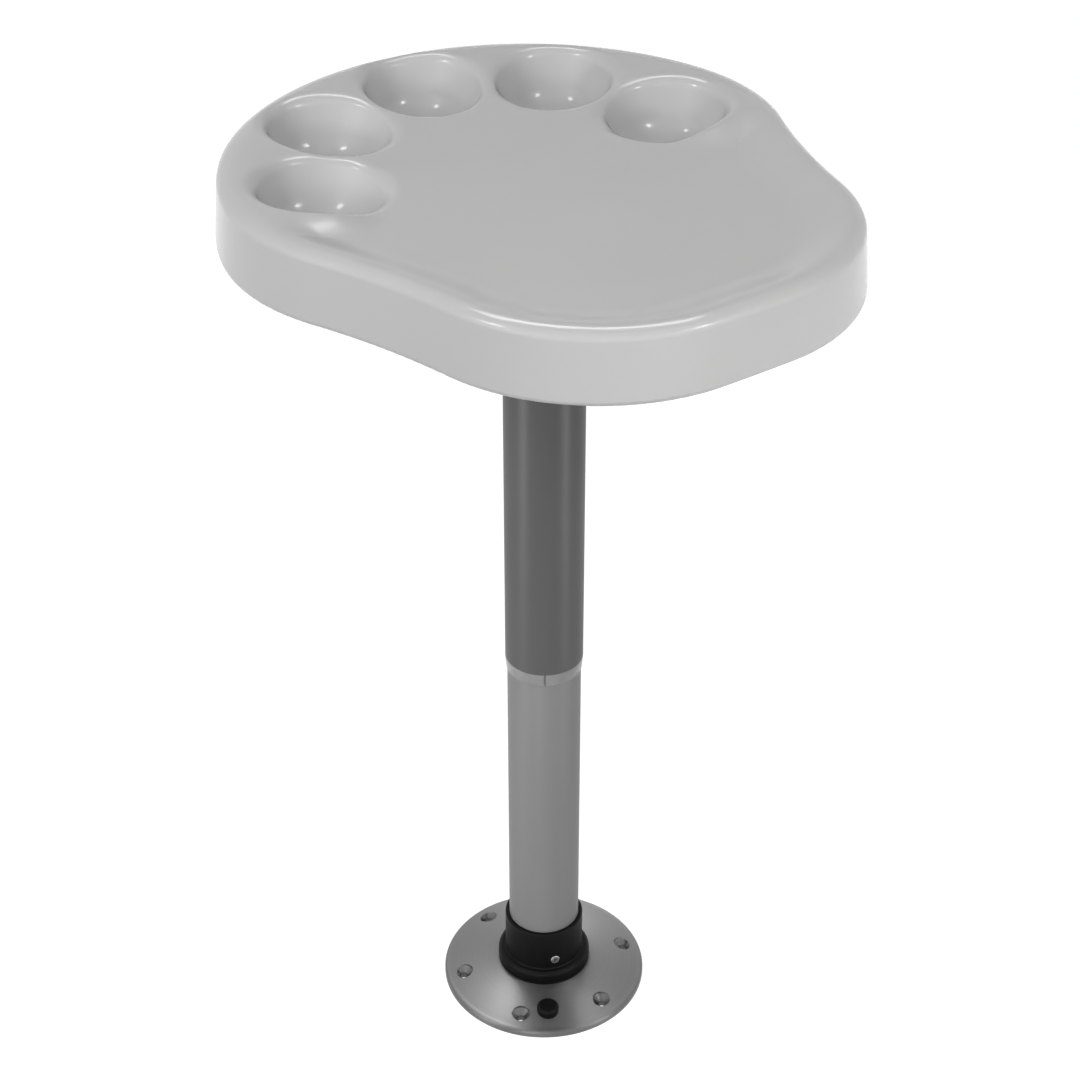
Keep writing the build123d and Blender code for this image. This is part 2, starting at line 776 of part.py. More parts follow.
# Screws from below that hold the collar to the plate
with BuildPart() as collar_screws:
    for angle in collar_screw_angles:
        with BuildSketch(turned(angle, collar_screw_sink)):
            with Locations((collar_screw_circle / 2, 0)):
                Circle(collar_screw_head_radius)
        extrude(amount=collar_screw_head_height)
        with BuildSketch(turned(angle, collar_screw_sink + collar_screw_head_height)):
            with Locations((collar_screw_circle / 2, 0)):
                Circle(collar_screw_radius)
        extrude(amount=seat_height + collar_screw_bite - collar_screw_sink - collar_screw_head_height)
        with BuildSketch(turned(angle, collar_screw_sink)):
            with Locations((collar_screw_circle / 2, 0)):
                RegularPolygon(collar_screw_radius, 6)
        extrude(amount=collar_screw_head_height * socket_share, mode=Mode.SUBTRACT)
save(collar_screws, "collar_screws")

# Set screw in the collar, just clear of the tube
set_screw_inner = tube_radius + free_gap
set_screw_outer = collar_radius + set_screw_proud
with BuildPart() as collar_set_screw:
    with BuildSketch(radial(set_screw_angle, set_screw_inner, set_screw_height)):
        Circle(set_screw_radius)
    extrude(amount=set_screw_outer - set_screw_inner)
    screw_axis = Axis((0, 0, 0), outward(set_screw_angle))
    screw_rims = collar_set_screw.edges().filter_by(GeomType.CIRCLE).sort_by(screw_axis)
    chamfer(screw_rims[-1], set_screw_bevel)
    with BuildSketch(radial(set_screw_angle, set_screw_outer, set_screw_height)):
        RegularPolygon(set_screw_socket_radius, 6)
    extrude(amount=-set_screw_socket_depth, mode=Mode.SUBTRACT)
save(collar_set_screw, "collar_set_screw")

# Latch slide: a flat plate with a hollowed nose, a spring window and slots for the button's legs
latch_nose = foot_radius + free_gap
window_end = spring_post_place + spring_post_length + free_gap
spring_slot_start = button_place - button_spring_radius - latch_travel - slot_side_gap
spring_slot_end = button_place + button_spring_radius + slot_side_gap
leg_tip = latch_top - leg_tip_entry
leg_inner = button_place - leg_tip_inset - leg_tip_thickness
slot_inner = leg_inner - latch_travel - free_gap
slot_outer = button_place - leg_tip_inset + leg_tip_entry + slot_wedge_gap
with BuildPart() as latch_slide:
    with BuildSketch(turned(latch_angle, latch_bottom)):
        with Locations((latch_end / 2, 0)):
            Rectangle(latch_end, 2 * latch_half_width)
        with Locations((-latch_travel, 0)):
            Circle(latch_nose, mode=Mode.SUBTRACT)
        with Locations(((window_start + window_end) / 2, 0)):
            Rectangle(window_end - window_start, 2 * window_half_width, mode=Mode.SUBTRACT)
        with Locations(((spring_slot_start + spring_slot_end) / 2, 0)):
            Rectangle(
                spring_slot_end - spring_slot_start,
                2 * (button_spring_radius + slot_side_gap),
                mode=Mode.SUBTRACT,
            )
    extrude(amount=latch_thickness)
    for side in (-1, 1):
        slot_middle = side * (leg_start + leg_width / 2)
        with BuildSketch(upright(latch_angle).offset(-slot_middle)):
            with BuildLine():
                Polyline(
                    (slot_inner, latch_bottom - latch_thickness),
                    (slot_inner, latch_top + latch_thickness),
                    (slot_outer + latch_thickness, latch_top + latch_thickness),
                    (slot_outer - 2 * latch_thickness, latch_bottom - latch_thickness),
                    close=True,
                )
            make_face()
        extrude(amount=leg_width / 2 + slot_side_gap, both=True, mode=Mode.SUBTRACT)
save(latch_slide, "latch_slide")

# Release button: a domed cap with two wedge legs that draw the latch back
with BuildPart() as release_button:
    with BuildSketch(turned(latch_angle, button_bottom)):
        with Locations((button_place, 0)):
            Circle(button_radius)
    extrude(amount=button_top - button_bottom)
    fillet(release_button.edges().group_by(Axis.Z)[-1], button_edge_radius)
    with BuildSketch(turned(latch_angle, button_bottom)):
        with Locations((button_place, 0)):
            Circle(button_spring_radius + slot_side_gap)
    extrude(amount=button_spring_pocket - button_bottom, mode=Mode.SUBTRACT)
    for side in (-1, 1):
        leg_middle = side * (leg_start + leg_width / 2)
        with BuildSketch(upright(latch_angle).offset(-leg_middle)):
            with BuildLine():
                Polyline(
                    (leg_inner, leg_tip),
                    (leg_inner + leg_tip_thickness, leg_tip),
                    (leg_inner + leg_tip_thickness + leg_root - leg_tip, leg_root),
                    (leg_inner, leg_root),
                    close=True,
                )
            make_face()
        extrude(amount=leg_width / 2, both=True)
save(release_button, "release_button")

# Cover under the latch, with two rails that carry the slide
rail_offset = latch_half_width - rail_inset - rail_width / 2
with BuildPart() as latch_cover:
    with BuildSketch(turned(latch_angle, cover_bottom)):
        cover_outline(0)
    extrude(amount=cover_thickness)
    with BuildSketch(turned(latch_angle, cover_top)):
        for side in (-1, 1):
            with Locations(((rail_start + latch_end) / 2, side * rail_offset)):
                Rectangle(latch_end - rail_start, rail_width)
    extrude(amount=latch_bottom - rail_slide_gap - cover_top)
    with BuildSketch(turned(latch_angle, cover_bottom)):
        with Locations(*cover_screw_points):
            Circle(cover_screw_head_radius)
    extrude(
        amount=cover_thickness,
        taper=degrees(atan((cover_screw_head_radius - cover_screw_radius) / cover_thickness)),
        mode=Mode.SUBTRACT,
    )
save(latch_cover, "latch_cover")

# Countersunk screws that hold the cover
with BuildPart() as cover_screws:
    with BuildSketch(turned(latch_angle, cover_bottom)):
        with Locations(*cover_screw_points):
            Circle(cover_screw_head_radius)
    extrude(
        amount=cover_thickness,
        taper=degrees(atan((cover_screw_head_radius - cover_screw_radius) / cover_thickness)),
    )
    with BuildSketch(turned(latch_angle, cover_top)):
        with Locations(*cover_screw_points):
            Circle(cover_screw_radius)
    extrude(amount=cover_screw_length - fit_gap)
save(cover_screws, "cover_screws")


def coil_path(start, way, length, radius, turns):
    """Centre line of a coil spring from a seat along a direction."""
    return Helix(length / turns, length, radius, center=start, direction=way)


# Spring that lifts the button, between the cover and the button's pocket
button_coil_length = button_spring_pocket - cover_top - 2 * button_spring_wire
button_coil_start = outward(latch_angle) * button_place + Vector(0, 0, cover_top + button_spring_wire)
with BuildPart() as button_spring:
    with BuildLine() as button_coil:
        coil_path(
            button_coil_start,
            (0, 0, 1),
            button_coil_length,
            button_spring_radius - button_spring_wire,
            button_spring_turns,
        )
    with BuildSketch(Plane(origin=button_coil.line @ 0, z_dir=button_coil.line % 0)):
        RegularPolygon(button_spring_wire, spring_wire_sides)
    sweep(path=button_coil.line, is_frenet=True)
save(button_spring, "button_spring")

# Spring that pushes the latch into the foot's groove, between the plate's post and the window's end
latch_coil_length = spring_post_place - window_start - 2 * latch_spring_wire
latch_coil_height = (cover_top + pocket_top) / 2
latch_coil_start = outward(latch_angle) * (window_start + latch_spring_wire) + Vector(0, 0, latch_coil_height)
with BuildPart() as latch_spring:
    with BuildLine() as latch_coil:
        coil_path(
            latch_coil_start,
            outward(latch_angle),
            latch_coil_length,
            latch_spring_radius - latch_spring_wire,
            latch_spring_turns,
        )
    with BuildSketch(Plane(origin=latch_coil.line @ 0, z_dir=latch_coil.line % 0)):
        RegularPolygon(latch_spring_wire, spring_wire_sides)
    sweep(path=latch_coil.line, is_frenet=True)
save(latch_spring, "latch_spring")
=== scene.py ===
from math import cos, radians, sin, sqrt

import bpy
import numpy as np
import openvdb
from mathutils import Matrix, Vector


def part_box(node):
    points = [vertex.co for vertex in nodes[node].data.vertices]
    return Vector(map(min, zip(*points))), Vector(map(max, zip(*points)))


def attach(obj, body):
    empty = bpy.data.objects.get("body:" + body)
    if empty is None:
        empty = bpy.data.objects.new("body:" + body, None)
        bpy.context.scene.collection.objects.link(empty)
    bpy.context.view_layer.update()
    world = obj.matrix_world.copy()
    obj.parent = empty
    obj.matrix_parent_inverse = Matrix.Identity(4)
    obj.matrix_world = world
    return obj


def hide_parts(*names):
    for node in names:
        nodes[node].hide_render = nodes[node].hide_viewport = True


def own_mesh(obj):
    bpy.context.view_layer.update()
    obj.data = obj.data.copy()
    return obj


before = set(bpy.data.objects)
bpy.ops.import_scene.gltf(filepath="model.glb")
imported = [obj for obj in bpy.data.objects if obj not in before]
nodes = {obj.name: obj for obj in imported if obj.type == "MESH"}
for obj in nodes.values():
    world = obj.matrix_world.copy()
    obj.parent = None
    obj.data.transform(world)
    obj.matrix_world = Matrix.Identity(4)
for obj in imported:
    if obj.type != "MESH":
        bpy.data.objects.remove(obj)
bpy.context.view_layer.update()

# Single pole camper table. Sizes of the moulded top are in millimetres, and its angles in degrees.
# The pole stands on the Z axis, the narrow front of the top points to -Y and the wells are at +Y.
MM = 0.001

# Table top
REAR_REACH = 250.5
REAR_RADIUS = 225.5
REAR_HALF_ANGLE = 72.8
SHOULDER_RADIUS = 156.0
WAIST_RADIUS = 538.0
CORNER_RADIUS = 148.0
CORNER_HALF_SPACING = 26.5
FRONT_REACH = 246.5
FRONT_RADIUS = 1700.0
TOP_EDGE_REACH = 17.0
TOP_EDGE_DROP = 8.0
APRON_DRAFT = 0.085
UNDERSIDE_EDGE_RADIUS = 4.0
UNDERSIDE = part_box("table_top")[0].z / MM
TOP_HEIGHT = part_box("table_top")[1].z / MM

# Recessed work surface
BORDER_WIDTH = 24.5
RECESS_DEPTH = 10.0
RECESS_WALL_RUN = 1.4
RECESS_WALL_EASE = 8.0
RECESS_REAR_RUN = 3.6
RECESS_REAR_EASE = 12.0
RECESS_CHANGE_START = -15.0
RECESS_CHANGE_END = 35.0
RECESS_REAR_RADIUS = 148.0
RECESS_TURN_DROP = 37.0
RECESS_TURN_RADIUS = 17.0

# Cup wells
CUP_COUNT = 5
CUP_ROW_TURN = 6.5
CUP_PITCH_CENTRE_Y = 45.0
CUP_PITCH_RADIUS = 147.7
CUP_PITCH_ANGLE = 41.8
CUP_OUTER_SLOPE = 0.33
CUP_INNER_SLOPE = 0.66
CUP_BASE_RADIUS = 28.0
CUP_LEAST_REACH = 1.0
CUP_DEPTH = 48.0
CUP_OUTER_LIP = 8.0
CUP_INNER_LIP = 7.5
CUP_BASE_FILLET = 19.0

# Mesh of the moulded top
VOXEL = 2.4
GRID_MARGIN = 4.0
SETTLE_STEPS = 5
PROBE = 0.05


# Form of the moulded top, as a distance that is below zero inside it
def round_both(first, second, radius):
    """Distance to what two shapes share, with their common edge rounded."""
    corner = np.hypot(np.maximum(first + radius, 0), np.maximum(second + radius, 0))
    return np.minimum(np.maximum(first, second), -radius) + corner


def round_either(first, second, radius):
    """Distance to two shapes together, with the inner corner between them rounded."""
    return -round_both(-first, -second, radius)


def smooth_step(share):
    """A share from 0 to 1, with a soft start and end."""
    return share**2 * (3 - 2 * share)


def meeting(centre_a, radius_a, centre_b, radius_b):
    """The crossing of two circles that lies further from the mirror line."""
    apart = centre_b - centre_a
    along = (radius_a**2 - radius_b**2 + apart.length_squared) / (2 * apart.length)
    aside = sqrt(radius_a**2 - along**2)
    step = apart.normalized()
    normal = Vector((abs(step.y), step.x if step.y < 0 else -step.x))
    return centre_a + step * along + normal * aside


def outline_arcs():
    """Arcs of one half of the outline: centre, radius, both ends, and 1 to bulge or -1 to hollow."""
    rear_way = Vector((sin(radians(REAR_HALF_ANGLE)), cos(radians(REAR_HALF_ANGLE))))
    rear = Vector((0, REAR_REACH - REAR_RADIUS))
    shoulder = rear + rear_way * (REAR_RADIUS - SHOULDER_RADIUS)
    front = Vector((0, FRONT_RADIUS - FRONT_REACH))
    corner_drop = sqrt((FRONT_RADIUS - CORNER_RADIUS) ** 2 - CORNER_HALF_SPACING**2)
    corner = front + Vector((CORNER_HALF_SPACING, -corner_drop))
    waist = meeting(shoulder, SHOULDER_RADIUS + WAIST_RADIUS, corner, CORNER_RADIUS + WAIST_RADIUS)
    rear_point = Vector((0, REAR_REACH))
    front_point = Vector((0, -FRONT_REACH))
    rear_joint = rear + rear_way * REAR_RADIUS
    shoulder_joint = shoulder + (waist - shoulder).normalized() * SHOULDER_RADIUS
    corner_joint = corner + (waist - corner).normalized() * CORNER_RADIUS
    front_joint = front + (corner - front).normalized() * FRONT_RADIUS
    return [
        (rear, REAR_RADIUS, rear_point, rear_joint, 1),
        (shoulder, SHOULDER_RADIUS, rear_joint, shoulder_joint, 1),
        (waist, WAIST_RADIUS, shoulder_joint, corner_joint, -1),
        (corner, CORNER_RADIUS, corner_joint, front_joint, 1),
        (front, FRONT_RADIUS, front_joint, front_point, 1),
    ]


OUTLINE = outline_arcs()


def outline_distance(x, y):
    """Distance to the top's outline."""
    x = np.abs(x)
    nearest = np.full(x.shape, np.inf)
    signed = np.zeros(x.shape)
    for centre, radius, start, end, side in OUTLINE:
        reach = np.hypot(x - centre.x, y - centre.y)
        middle = ((start + end) / 2 - centre).normalized()
        half_span = (start - centre).normalized().dot(middle)
        facing = (x - centre.x) * middle.x + (y - centre.y) * middle.y
        to_ends = np.minimum(np.hypot(x - start.x, y - start.y), np.hypot(x - end.x, y - end.y))
        to_arc = np.where(facing >= half_span * reach, np.abs(reach - radius), to_ends)
        closer = to_arc < nearest
        nearest = np.where(closer, to_arc, nearest)
        signed = np.where(closer, side * np.where(reach < radius, -to_arc, to_arc), signed)
    return signed


def with_recess(body, x, y, z, outline):
    """Distance to a body with the work surface sunk in it, ramped gently between the wells."""
    turn = radians(CUP_ROW_TURN)
    along = y - CUP_PITCH_CENTRE_Y
    back = x * sin(turn) + along * cos(turn)
    front_part = round_both(outline + BORDER_WIDTH, back + RECESS_TURN_DROP, RECESS_TURN_RADIUS)
    rear_part = np.hypot(x, along) - RECESS_REAR_RADIUS
    edge = round_either(front_part, rear_part, RECESS_TURN_RADIUS)
    change_length = RECESS_CHANGE_END - RECESS_CHANGE_START
    change = smooth_step(np.clip((back - RECESS_CHANGE_START) / change_length, 0, 1))
    run = RECESS_WALL_RUN + (RECESS_REAR_RUN - RECESS_WALL_RUN) * change
    ease = RECESS_WALL_EASE + (RECESS_REAR_EASE - RECESS_WALL_EASE) * change
    wall = (edge + (TOP_HEIGHT - z) * run) / np.sqrt(1 + run**2)
    recess = round_both(wall, TOP_HEIGHT - RECESS_DEPTH - z, ease)
    return round_both(body, -recess, ease)


def with_cup(body, x, y, z, bearing):
    """Distance to a body with the well at a bearing cut in it, steep behind and open in front."""
    way_x, way_y = sin(radians(bearing)), cos(radians(bearing))
    across = x - CUP_PITCH_RADIUS * way_x
    along = y - CUP_PITCH_CENTRE_Y - CUP_PITCH_RADIUS * way_y
    reach = np.maximum(np.hypot(across, along), CUP_LEAST_REACH)
    inward = ((1 - (across * way_x + along * way_y) / reach) / 2) ** 2
    slope = CUP_OUTER_SLOPE + (CUP_INNER_SLOPE - CUP_OUTER_SLOPE) * inward
    base = TOP_HEIGHT - CUP_DEPTH
    wall = (reach - CUP_BASE_RADIUS - slope * (z - base)) / np.sqrt(1 + slope**2)
    well = round_both(wall, base - z, CUP_BASE_FILLET)
    return round_both(body, -well, CUP_OUTER_LIP + (CUP_INNER_LIP - CUP_OUTER_LIP) * inward)


def top_distance(points):
    """Distance to the surface of the moulded top."""
    x, y, z = points
    outline = outline_distance(x, y)
    apron = outline + (z - UNDERSIDE) * APRON_DRAFT
    below_top = (z - TOP_HEIGHT) / TOP_EDGE_DROP
    body = TOP_EDGE_DROP * round_both(apron / TOP_EDGE_REACH, below_top, radius=1)
    body = np.maximum(body, round_both(apron, UNDERSIDE - z, UNDERSIDE_EDGE_RADIUS))
    body = with_recess(body, x, y, z, outline)
    for i in range(CUP_COUNT):
        bearing = CUP_ROW_TURN + CUP_PITCH_ANGLE * (i - (CUP_COUNT - 1) / 2)
        body = with_cup(body, x, y, z, bearing)
    return body


def slope_of(points):
    """Direction in which the distance grows, at each point."""
    rows = []
    for axis in range(3):
        step = np.zeros((3, 1))
        step[axis] = PROBE
        rows.append((top_distance(points + step) - top_distance(points - step)) / (2 * PROBE))
    return np.array(rows)


def moulded_top(name):
    """Mesh of the moulded top: a grid laid over its form, then settled on the true surface."""
    low = np.array(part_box("table_top")[0]) / MM - GRID_MARGIN
    high = np.array(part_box("table_top")[1]) / MM + GRID_MARGIN
    counts = np.ceil((high - low) / VOXEL).astype(int)
    steps = np.meshgrid(*[np.arange(n) for n in counts], indexing="ij")
    points = np.array([s * VOXEL + start for s, start in zip(steps, low)])
    distance = top_distance(points.reshape(3, -1)).reshape(points.shape[1:])
    grid = openvdb.FloatGrid(float(distance.max()))
    grid.copyFromArray(distance)
    found, quads = grid.convertToQuads(isovalue=0.0)
    surface = found.T.astype(float) * VOXEL + low[:, None]
    for _ in range(SETTLE_STEPS):
        away = slope_of(surface)
        surface = surface - top_distance(surface) * away / np.sum(away**2, axis=0)
    mesh = bpy.data.meshes.new(name)
    mesh.from_pydata((surface.T * MM).tolist(), [], quads.tolist())
    mesh.shade_smooth()
    away = slope_of(surface)
    mesh.normals_split_custom_set_from_vertices((away / np.linalg.norm(away, axis=0)).T.tolist())
    return mesh


# Materials
RAMP_START = 0.3
RAMP_END = 0.7
RING_DETAIL = 4.0
QUARTER_TURN = 0.25


def new_material(name, metallic=0.0):
    """An empty procedural material: the material, its tree and its shader."""
    material = bpy.data.materials.new(name)
    material.use_nodes = True
    shader = material.node_tree.nodes["Principled BSDF"]
    shader.inputs["Metallic"].default_value = metallic
    return material, material.node_tree, shader


def grain(tree, cells, detail=3.0):
    """Noise in the object's own frame, with a number of cells to the metre along each axis."""
    place = tree.nodes.new("ShaderNodeTexCoord")
    scale = tree.nodes.new("ShaderNodeMapping")
    scale.inputs["Scale"].default_value = cells
    tree.links.new(place.outputs["Object"], scale.inputs["Vector"])
    noise = tree.nodes.new("ShaderNodeTexNoise")
    noise.inputs["Scale"].default_value = 1.0
    noise.inputs["Detail"].default_value = detail
    tree.links.new(scale.outputs["Vector"], noise.inputs["Vector"])
    return noise.outputs["Fac"]


def rings(tree, cells):
    """Fine turning marks round the pole's axis, with a number of cells to the metre."""
    place = tree.nodes.new("ShaderNodeTexCoord")
    flat = tree.nodes.new("ShaderNodeVectorMath")
    flat.operation = "MULTIPLY"
    flat.inputs[1].default_value = (1, 1, 0)
    tree.links.new(place.outputs["Object"], flat.inputs[0])
    length = tree.nodes.new("ShaderNodeVectorMath")
    length.operation = "LENGTH"
    tree.links.new(flat.outputs["Vector"], length.inputs[0])
    noise = tree.nodes.new("ShaderNodeTexNoise")
    noise.noise_dimensions = "1D"
    noise.inputs["Scale"].default_value = cells
    noise.inputs["Detail"].default_value = RING_DETAIL
    tree.links.new(length.outputs["Value"], noise.inputs["W"])
    return noise.outputs["Fac"]


def shade(tree, factor, shader, dark, light):
    """Base colour between two colours by a factor."""
    ramp = tree.nodes.new("ShaderNodeValToRGB")
    ramp.color_ramp.elements[0].position = RAMP_START
    ramp.color_ramp.elements[1].position = RAMP_END
    ramp.color_ramp.elements[0].color = (*dark, 1)
    ramp.color_ramp.elements[1].color = (*light, 1)
    tree.links.new(factor, ramp.inputs["Fac"])
    tree.links.new(ramp.outputs["Color"], shader.inputs["Base Color"])


def gloss(tree, factor, shader, low, high):
    """Roughness between two values by a factor."""
    spread = tree.nodes.new("ShaderNodeMapRange")
    spread.inputs["To Min"].default_value = low
    spread.inputs["To Max"].default_value = high
    tree.links.new(factor, spread.inputs["Value"])
    tree.links.new(spread.outputs["Result"], shader.inputs["Roughness"])


def relief(tree, factor, shader, depth):
    """Bump of a depth in metres."""
    bump = tree.nodes.new("ShaderNodeBump")
    bump.inputs["Strength"].default_value = 1.0
    bump.inputs["Distance"].default_value = depth
    tree.links.new(factor, bump.inputs["Height"])
    tree.links.new(bump.outputs["Normal"], shader.inputs["Normal"])


def by_identifier(sockets, identifier):
    """One socket of a Mix node, whose sockets share their names."""
    return next(socket for socket in sockets if socket.identifier == identifier)


def paint_shade_in_hollows(tree, shader, reach):
    """Painted shade: a darker base colour, by ambient occlusion, in hollows narrower than a reach in
    metres.
    """
    hollow = tree.nodes.new("ShaderNodeAmbientOcclusion")
    hollow.inputs["Distance"].default_value = reach
    # The base colour is multiplied by the occlusion, so the shade is painted into the colour.
    painted_shade = tree.nodes.new("ShaderNodeMix")
    painted_shade.data_type = "RGBA"
    painted_shade.blend_type = "MULTIPLY"
    painted_shade.inputs["Factor"].default_value = 1.0
    colour = shader.inputs["Base Color"].links[0].from_socket
    tree.links.new(colour, by_identifier(painted_shade.inputs, "A_Color"))
    tree.links.new(hollow.outputs["Color"], by_identifier(painted_shade.inputs, "B_Color"))
    tree.links.new(by_identifier(painted_shade.outputs, "Result_Color"), shader.inputs["Base Color"])


def brushed(tree, shader, amount):
    """Highlights drawn out across marks that run round the pole's axis."""
    tangent = tree.nodes.new("ShaderNodeTangent")
    tangent.direction_type = "RADIAL"
    tangent.axis = "Z"
    tree.links.new(tangent.outputs["Tangent"], shader.inputs["Tangent"])
    shader.inputs["Anisotropic"].default_value = amount
    shader.inputs["Anisotropic Rotation"].default_value = QUARTER_TURN


def grey(value):
    """A colour without a hue."""
    return (value, value, value)


def moulded_plastic():
    """Glossy grey plastic, faintly clouded, with a slight orange peel."""
    material, tree, shader = new_material("moulded_plastic")
    cloud = grain(tree, cells=(7, 7, 7))
    peel = grain(tree, cells=(160, 160, 160), detail=2.0)
    shade(tree, cloud, shader, dark=grey(0.455), light=grey(0.475))
    gloss(tree, cloud, shader, low=0.16, high=0.22)
    relief(tree, peel, shader, depth=0.00004)
    shader.inputs["Specular IOR Level"].default_value = 0.3
    shader.inputs["Coat Weight"].default_value = 0.4
    shader.inputs["Coat Roughness"].default_value = 0.09
    return material


def drawn_aluminium(name, dark, light):
    """Satin anodised tube, between two levels of grey."""
    material, tree, shader = new_material(name, metallic=0.3)
    cloud = grain(tree, cells=(30, 30, 6), detail=2.0)
    shade(tree, cloud, shader, dark=grey(dark), light=grey(light))
    gloss(tree, cloud, shader, low=0.38, high=0.42)
    brushed(tree, shader, amount=0.5)
    shader.inputs["Specular IOR Level"].default_value = 0.25
    shader.inputs["Specular Tint"].default_value = (*grey(0.4), 1)
    return material


def turned_aluminium():
    """Metal with fine rings from the lathe."""
    material, tree, shader = new_material("turned_aluminium", metallic=1.0)
    marks = rings(tree, cells=2600)
    shade(tree, marks, shader, dark=grey(0.13), light=grey(0.18))
    gloss(tree, marks, shader, low=0.42, high=0.5)
    relief(tree, marks, shader, depth=0.000006)
    brushed(tree, shader, amount=0.8)
    return material


def cast_aluminium():
    """Metal with the rough skin of a casting."""
    material, tree, shader = new_material("cast_aluminium", metallic=1.0)
    skin = grain(tree, cells=(700, 700, 700), detail=4.0)
    shade(tree, skin, shader, dark=grey(0.24), light=grey(0.34))
    gloss(tree, skin, shader, low=0.42, high=0.6)
    relief(tree, skin, shader, depth=0.00012)
    return material


def satin_black():
    """Black plastic with a fine grain."""
    material, tree, shader = new_material("satin_black")
    skin = grain(tree, cells=(1500, 1500, 1500), detail=2.0)
    shade(tree, skin, shader, dark=grey(0.003), light=grey(0.005))
    gloss(tree, skin, shader, low=0.36, high=0.48)
    relief(tree, skin, shader, depth=0.00002)
    shader.inputs["Specular IOR Level"].default_value = 0.09
    return material


def white_nylon():
    """Slightly translucent nylon."""
    material, tree, shader = new_material("white_nylon")
    cloud = grain(tree, cells=(120, 120, 120))
    shade(tree, cloud, shader, dark=grey(0.25), light=grey(0.3))
    gloss(tree, cloud, shader, low=0.2, high=0.3)
    shader.inputs["Subsurface Weight"].default_value = 0.15
    shader.inputs["Subsurface Radius"].default_value = (0.002, 0.002, 0.002)
    return material


def bright_steel():
    """Plain steel of screws, springs and the latch, with painted shade darkening its hollows."""
    material, tree, shader = new_material("bright_steel", metallic=1.0)
    marks = grain(tree, cells=(1800, 1800, 1800))
    shade(tree, marks, shader, dark=grey(0.45), light=grey(0.58))
    # Painted shade in the steel's hollows, such as the screw sockets.
    paint_shade_in_hollows(tree, shader, reach=0.003)
    gloss(tree, marks, shader, low=0.2, high=0.34)
    return material


def plain_brass():
    """Brass of the threaded inserts."""
    material, tree, shader = new_material("plain_brass", metallic=1.0)
    marks = grain(tree, cells=(1200, 1200, 1200))
    shade(tree, marks, shader, dark=(0.5, 0.34, 0.12), light=(0.6, 0.43, 0.18))
    gloss(tree, marks, shader, low=0.24, high=0.36)
    return material


BLACK_NODES = ("pole_collar", "release_button")
NYLON_NODES = ("sleeve_bush", "lower_guide", "friction_ring", "foot_plug", "swivel_bearing")
FINISHES = {
    # The sleeve gets a darker copy of the tube's aluminium: painted shade of the table top above it.
    "upper_sleeve": drawn_aluminium("sleeve_aluminium_painted_shade", dark=0.11, light=0.118),
    "lower_tube": drawn_aluminium("tube_aluminium", dark=0.21, light=0.22),
    "floor_plate": turned_aluminium(),
    "top_flange": cast_aluminium(),
    "top_inserts": plain_brass(),
}
FINISHES.update(dict.fromkeys(BLACK_NODES, satin_black()))
FINISHES.update(dict.fromkeys(NYLON_NODES, white_nylon()))
STEEL = bright_steel()
for name, node in nodes.items():
    node.data.materials.clear()
    node.data.materials.append(FINISHES.get(name, STEEL))

# Pieces that stand for plainer solids
top = bpy.data.objects.new("moulded_top", moulded_top("moulded_top"))
bpy.context.scene.collection.objects.link(top)
top.data.materials.append(moulded_plastic())
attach(top, "upper_pole")
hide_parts("table_top")


def coil(name, node):
    """A spring piece of its own, copied from the part's mesh and carried with the base."""
    piece = bpy.data.objects.new(name, nodes[node].data.copy())
    bpy.context.scene.collection.objects.link(piece)
    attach(piece, "base")
    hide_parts(node)
    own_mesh(piece)


coil("button_coil", "button_spring")
coil("latch_coil", "latch_spring")

# Floor and world
WORLD_LIGHT = 0.12
BACKDROP_LIGHT = 1.0
FLOOR_GREY = 0.25
FLOOR_LIFT = 0.96
FLOOR_HALF = 6.0
FLOOR_LEVEL = -0.0002


def backdrop_factor(tree):
    """1 for what the camera, metal and glass see, and 0 for the rest."""
    path = tree.nodes.new("ShaderNodeLightPath")
    total = path.outputs["Is Camera Ray"]
    for other in ("Is Glossy Ray", "Is Transmission Ray"):
        join = tree.nodes.new("ShaderNodeMath")
        join.operation = "MAXIMUM"
        tree.links.new(total, join.inputs[0])
        tree.links.new(path.outputs[other], join.inputs[1])
        total = join.outputs["Value"]
    return total


def floor_material():
    """Pale floor that keeps the shadow and reads as white round it."""
    material = bpy.data.materials.new("pale_floor")
    material.use_nodes = True
    tree = material.node_tree
    output = tree.nodes["Material Output"]
    tree.nodes.remove(tree.nodes["Principled BSDF"])
    diffuse = tree.nodes.new("ShaderNodeBsdfDiffuse")
    diffuse.inputs["Color"].default_value = (*grey(FLOOR_GREY), 1)
    glow = tree.nodes.new("ShaderNodeEmission")
    lift = tree.nodes.new("ShaderNodeMapRange")
    lift.inputs["To Max"].default_value = FLOOR_LIFT
    both = tree.nodes.new("ShaderNodeAddShader")
    tree.links.new(backdrop_factor(tree), lift.inputs["Value"])
    tree.links.new(lift.outputs["Result"], glow.inputs["Strength"])
    tree.links.new(diffuse.outputs["BSDF"], both.inputs[0])
    tree.links.new(glow.outputs["Emission"], both.inputs[1])
    tree.links.new(both.outputs["Shader"], output.inputs["Surface"])
    return material


world = bpy.data.worlds.new("studio")
bpy.context.scene.world = world
world.use_nodes = True
sky = world.node_tree.nodes["Background"]
sky.inputs["Color"].default_value = (1, 1, 1, 1)
sky_mix = world.node_tree.nodes.new("ShaderNodeMapRange")
sky_mix.inputs["To Min"].default_value = WORLD_LIGHT
sky_mix.inputs["To Max"].default_value = BACKDROP_LIGHT
world.node_tree.links.new(backdrop_factor(world.node_tree), sky_mix.inputs["Value"])
world.node_tree.links.new(sky_mix.outputs["Result"], sky.inputs["Strength"])

